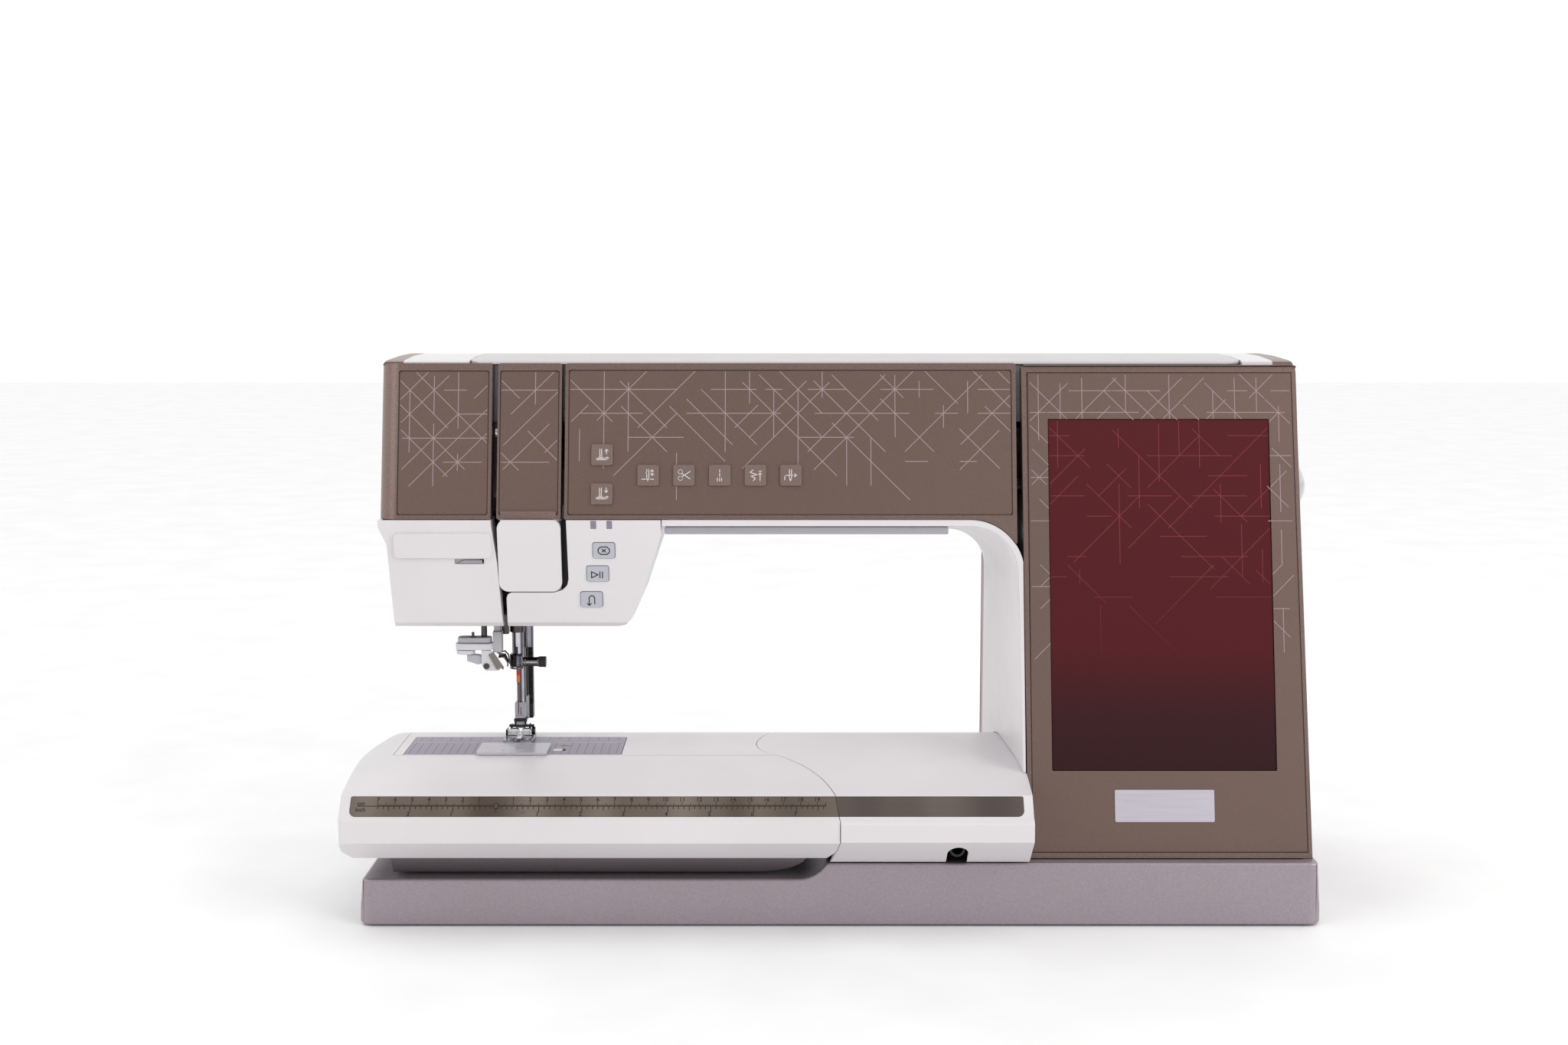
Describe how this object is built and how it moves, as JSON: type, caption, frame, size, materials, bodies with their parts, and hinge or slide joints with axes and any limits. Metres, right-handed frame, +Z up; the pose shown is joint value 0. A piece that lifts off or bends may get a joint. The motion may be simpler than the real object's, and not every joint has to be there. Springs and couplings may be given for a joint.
{
  "type": "sewing machine",
  "caption": "Free-arm sewing and embroidery machine with a tall tilted screen tower, long arched throat, needle head, wrap-around accessory tray and wide low base.",
  "frame": {"origin": "centre of the overall footprint, at table height", "axes": "+X to the operator's right, along the arm; +Y to the back; +Z up"},
  "size_m": [0.5922, 0.238, 0.3388],
  "materials": {
    "white_plastic": "satin white moulding",
    "taupe_paint": "metallic taupe lacquer",
    "base_plastic": "fine grained metallic grey",
    "rubber": "matt",
    "strip_metal": "brushed along its length",
    "plate_metal": "satin",
    "clear_plastic": "clear",
    "steel": "ground",
    "chrome": "polished",
    "dark_plastic": "matt",
    "light_grey": "matt",
    "key_grey": "satin",
    "key_taupe": "satin metallic",
    "screen_glass": "glossy",
    "brushed_aluminium": "brushed",
    "cast_aluminium": "cast",
    "led_diffuser": "frosted"
  },
  "bodies": {
    "machine": {"base": "base_plastic", "rubber_feet": "rubber", "bed_cover": "white_plastic", "bed_strip": "strip_metal", "free_arm": "white_plastic", "needle_plate": "plate_metal", "bobbin_case": "dark_plastic", "arch_liner": "white_plastic", "led_strip": "led_diffuser", "arm_panel": "taupe_paint", "head_left_panel": "taupe_paint", "take_up_cover": "taupe_paint", "head_left_casing": "white_plastic", "cutter_blade": "steel", "head_right_casing": "white_plastic", "tower_panel": "taupe_paint", "touch_screen": "screen_glass", "badge_plate": "brushed_aluminium", "tower_rear_cover": "taupe_paint", "arm_rear_cover": "white_plastic", "spool_deck": "light_grey", "spool_pin": "dark_plastic", "cast_frame": "cast_aluminium", "timing_belt": "rubber", "motor": "dark_plastic", "connector_panel": "dark_plastic", "knee_lift_socket": "dark_plastic", "cover_screws": "steel"},
    "handwheel_shaft": {"main_shaft": "steel", "handwheel": "chrome"},
    "lower_shaft": {"lower_shaft": "steel"},
    "hook": {"rotary_hook": "steel"},
    "bobbin": {"bobbin": "clear_plastic"},
    "needle_unit": {"needle_bar": "chrome", "needle_clamp": "steel", "needle": "steel"},
    "take_up_lever": {"take_up_lever": "chrome"},
    "presser_unit": {"presser_bar": "chrome", "foot_ankle": "steel"},
    "presser_foot": {"presser_foot": "clear_plastic"},
    "dual_feed_lever": {"dual_feed_lever": "dark_plastic"},
    "needle_threader": {"needle_threader": "light_grey"},
    "feed_dog": {"feed_dog": "steel"},
    "accessory_tray": {"tray_shell": "white_plastic", "tray_pan": "light_grey", "tray_ruler": "strip_metal"},
    "bobbin_cover": {"bobbin_cover": "clear_plastic"},
    "top_lid": {"top_lid": "white_plastic"},
    "winder_spindle": {"winder_spindle": "chrome"},
    "power_switch": {"power_switch": "dark_plastic"},
    "foot_up_button": {"foot_up_button": "key_taupe"},
    "foot_down_button": {"foot_down_button": "key_taupe"},
    "needle_button": {"needle_button": "key_taupe"},
    "scissors_button": {"scissors_button": "key_taupe"},
    "baste_button": {"baste_button": "key_taupe"},
    "tie_off_button": {"tie_off_button": "key_taupe"},
    "thread_button": {"thread_button": "key_taupe"},
    "stop_button": {"stop_button": "key_grey"},
    "start_button": {"start_button": "key_grey"},
    "reverse_button": {"reverse_button": "key_grey"}
  },
  "joints": [
    {"name": "handwheel_turn", "type": "hinge", "parent": "machine", "child": "handwheel_shaft", "pos_m": [0, 0, 0.258], "axis": [1, 0, 0], "continuous": true},
    {"name": "lower_shaft_turn", "type": "hinge", "parent": "machine", "child": "lower_shaft", "pos_m": [0, -0.0022, 0.058], "axis": [1, 0, 0], "continuous": true},
    {"name": "hook_turn", "type": "hinge", "parent": "machine", "child": "hook", "pos_m": [-0.20375, -0.0175, 0.07], "axis": [0, 0, 1], "continuous": true},
    {"name": "bobbin_turn", "type": "hinge", "parent": "machine", "child": "bobbin", "pos_m": [-0.20375, -0.0175, 0.075], "axis": [0, 0, 1], "continuous": true},
    {"name": "needle_bar_stroke", "type": "slide", "parent": "machine", "child": "needle_unit", "axis": [0, 0, 1], "range_m": [-0.032, 0.002]},
    {"name": "take_up_swing", "type": "hinge", "parent": "machine", "child": "take_up_lever", "pos_m": [-0.21225, 0.008, 0.282], "axis": [1, 0, 0], "range_deg": [0, 40]},
    {"name": "presser_lift", "type": "slide", "parent": "machine", "child": "presser_unit", "axis": [0, 0, 1], "range_m": [0, 0.01]},
    {"name": "foot_tilt", "type": "hinge", "parent": "presser_unit", "child": "presser_foot", "pos_m": [-0.20375, 0.0105, 0.1004], "axis": [1, 0, 0], "range_deg": [-6, 1]},
    {"name": "dual_feed_swing", "type": "hinge", "parent": "machine", "child": "dual_feed_lever", "pos_m": [-0.19915, 0.0278, 0.172], "axis": [1, 0, 0], "range_deg": [0, 25]},
    {"name": "threader_travel", "type": "slide", "parent": "machine", "child": "needle_threader", "axis": [0, 0, 1], "range_m": [-0.028, 0]},
    {"name": "feed_travel", "type": "slide", "parent": "machine", "child": "feed_dog", "axis": [0, 1, 0], "range_m": [-0.0015, 0.0015]},
    {"name": "tray_removal", "type": "slide", "parent": "machine", "child": "accessory_tray", "axis": [-1, 0, 0], "range_m": [0, 0.3]},
    {"name": "bobbin_cover_slide", "type": "slide", "parent": "machine", "child": "bobbin_cover", "axis": [0, -1, 0], "range_m": [0, 0.03]},
    {"name": "lid_opening", "type": "hinge", "parent": "machine", "child": "top_lid", "pos_m": [0.013, 0.0965, 0.3355], "axis": [-1, 0, 0], "range_deg": [0, 80]},
    {"name": "winder_turn", "type": "hinge", "parent": "machine", "child": "winder_spindle", "pos_m": [0.216, 0.044, 0.3], "axis": [0, 0, 1], "continuous": true},
    {"name": "power_switch_rock", "type": "hinge", "parent": "machine", "child": "power_switch", "pos_m": [0.284, 0.038, 0.0725], "axis": [0, 1, 0], "range_deg": [0, 12]},
    {"name": "foot_up_button_press", "type": "slide", "parent": "machine", "child": "foot_up_button", "axis": [0, 0.9755, -0.2199], "range_m": [0, 0.001], "stiffness_N_per_m": 300},
    {"name": "foot_down_button_press", "type": "slide", "parent": "machine", "child": "foot_down_button", "axis": [0, 0.9755, -0.2199], "range_m": [0, 0.001], "stiffness_N_per_m": 300},
    {"name": "needle_button_press", "type": "slide", "parent": "machine", "child": "needle_button", "axis": [0, 0.9755, -0.2199], "range_m": [0, 0.001], "stiffness_N_per_m": 300},
    {"name": "scissors_button_press", "type": "slide", "parent": "machine", "child": "scissors_button", "axis": [0, 0.9755, -0.2199], "range_m": [0, 0.001], "stiffness_N_per_m": 300},
    {"name": "baste_button_press", "type": "slide", "parent": "machine", "child": "baste_button", "axis": [0, 0.9755, -0.2199], "range_m": [0, 0.001], "stiffness_N_per_m": 300},
    {"name": "tie_off_button_press", "type": "slide", "parent": "machine", "child": "tie_off_button", "axis": [0, 0.9755, -0.2199], "range_m": [0, 0.001], "stiffness_N_per_m": 300},
    {"name": "thread_button_press", "type": "slide", "parent": "machine", "child": "thread_button", "axis": [0, 0.9755, -0.2199], "range_m": [0, 0.001], "stiffness_N_per_m": 300},
    {"name": "stop_button_press", "type": "slide", "parent": "machine", "child": "stop_button", "axis": [0, 0.9836, 0.1805], "range_m": [0, 0.001], "stiffness_N_per_m": 300},
    {"name": "start_button_press", "type": "slide", "parent": "machine", "child": "start_button", "axis": [0, 0.9836, 0.1805], "range_m": [0, 0.001], "stiffness_N_per_m": 300},
    {"name": "reverse_button_press", "type": "slide", "parent": "machine", "child": "reverse_button", "axis": [0, 0.9836, 0.1805], "range_m": [0, 0.001], "stiffness_N_per_m": 300}
  ],
  "couplings": [
    {"joint": "lower_shaft_turn", "follows": "handwheel_turn", "ratio": 1},
    {"joint": "hook_turn", "follows": "handwheel_turn", "ratio": 2}
  ]
}
